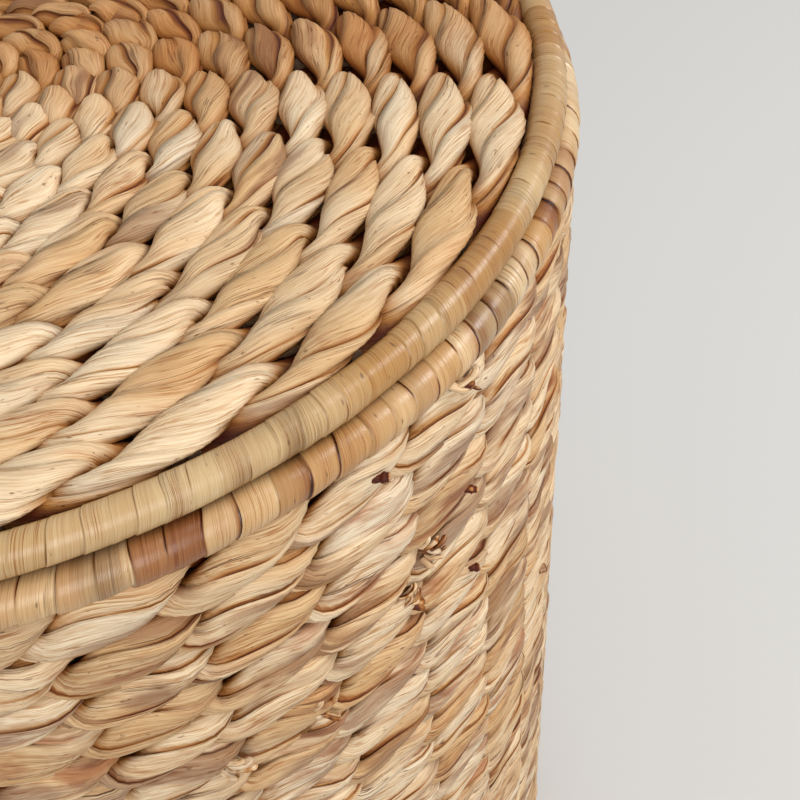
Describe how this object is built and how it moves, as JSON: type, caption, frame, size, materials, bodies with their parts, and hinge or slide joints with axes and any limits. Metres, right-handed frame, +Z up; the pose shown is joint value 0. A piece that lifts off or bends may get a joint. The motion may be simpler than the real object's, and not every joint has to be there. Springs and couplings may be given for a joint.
{
  "type": "laundry basket",
  "caption": "Tall round laundry basket of twined plant fibre on a wire frame, with bound hoops at base and rim and a flat woven lid that lifts off.",
  "frame": {"origin": "on the floor, at the centre of the basket's footprint", "axes": "+Z up along the basket's axis, from base to lid"},
  "size_m": [0.412, 0.412, 0.6],
  "materials": {
    "woven_hyacinth": "dried stem strand, satin to matt",
    "leaf_binding": "flat dried leaf strip, satin",
    "frame_wire": "dull",
    "hoop_wire": "dull"
  },
  "bodies": {
    "basket": {"base_hoop": "hoop_wire", "base_binding_1": "leaf_binding", "base_binding_2": "leaf_binding", "base_spokes": "frame_wire", "base_weave": "woven_hyacinth", "wall_weave": "woven_hyacinth", "wall_stake_01": "frame_wire", "wall_stake_02": "frame_wire", "wall_stake_03": "frame_wire", "wall_stake_04": "frame_wire", "wall_stake_05": "frame_wire", "wall_stake_06": "frame_wire", "wall_stake_07": "frame_wire", "wall_stake_08": "frame_wire", "wall_stake_09": "frame_wire", "wall_stake_10": "frame_wire", "wall_stake_11": "frame_wire", "wall_stake_12": "frame_wire", "wall_stake_13": "frame_wire", "wall_stake_14": "frame_wire", "wall_stake_15": "frame_wire", "wall_stake_16": "frame_wire", "wall_stake_17": "frame_wire", "wall_stake_18": "frame_wire", "wall_stake_19": "frame_wire", "wall_stake_20": "frame_wire", "wall_stake_21": "frame_wire", "wall_stake_22": "frame_wire", "wall_stake_23": "frame_wire", "wall_stake_24": "frame_wire", "wall_stake_25": "frame_wire", "wall_stake_26": "frame_wire", "wall_stake_27": "frame_wire", "wall_stake_28": "frame_wire", "wall_stake_29": "frame_wire", "wall_stake_30": "frame_wire", "wall_stake_31": "frame_wire", "wall_stake_32": "frame_wire", "wall_stake_33": "frame_wire", "wall_stake_34": "frame_wire", "wall_stake_35": "frame_wire", "wall_stake_36": "frame_wire", "rim_hoop": "hoop_wire", "rim_binding_1": "leaf_binding", "rim_binding_2": "leaf_binding"},
    "lid": {"lid_hoop": "hoop_wire", "lid_binding_1": "leaf_binding", "lid_binding_2": "leaf_binding", "lid_spokes": "frame_wire", "lid_weave": "woven_hyacinth"}
  },
  "joints": [
    {"name": "lid_lift", "type": "slide", "parent": "basket", "child": "lid", "axis": [0, 0, 1], "range_m": [0, 0.3]}
  ]
}
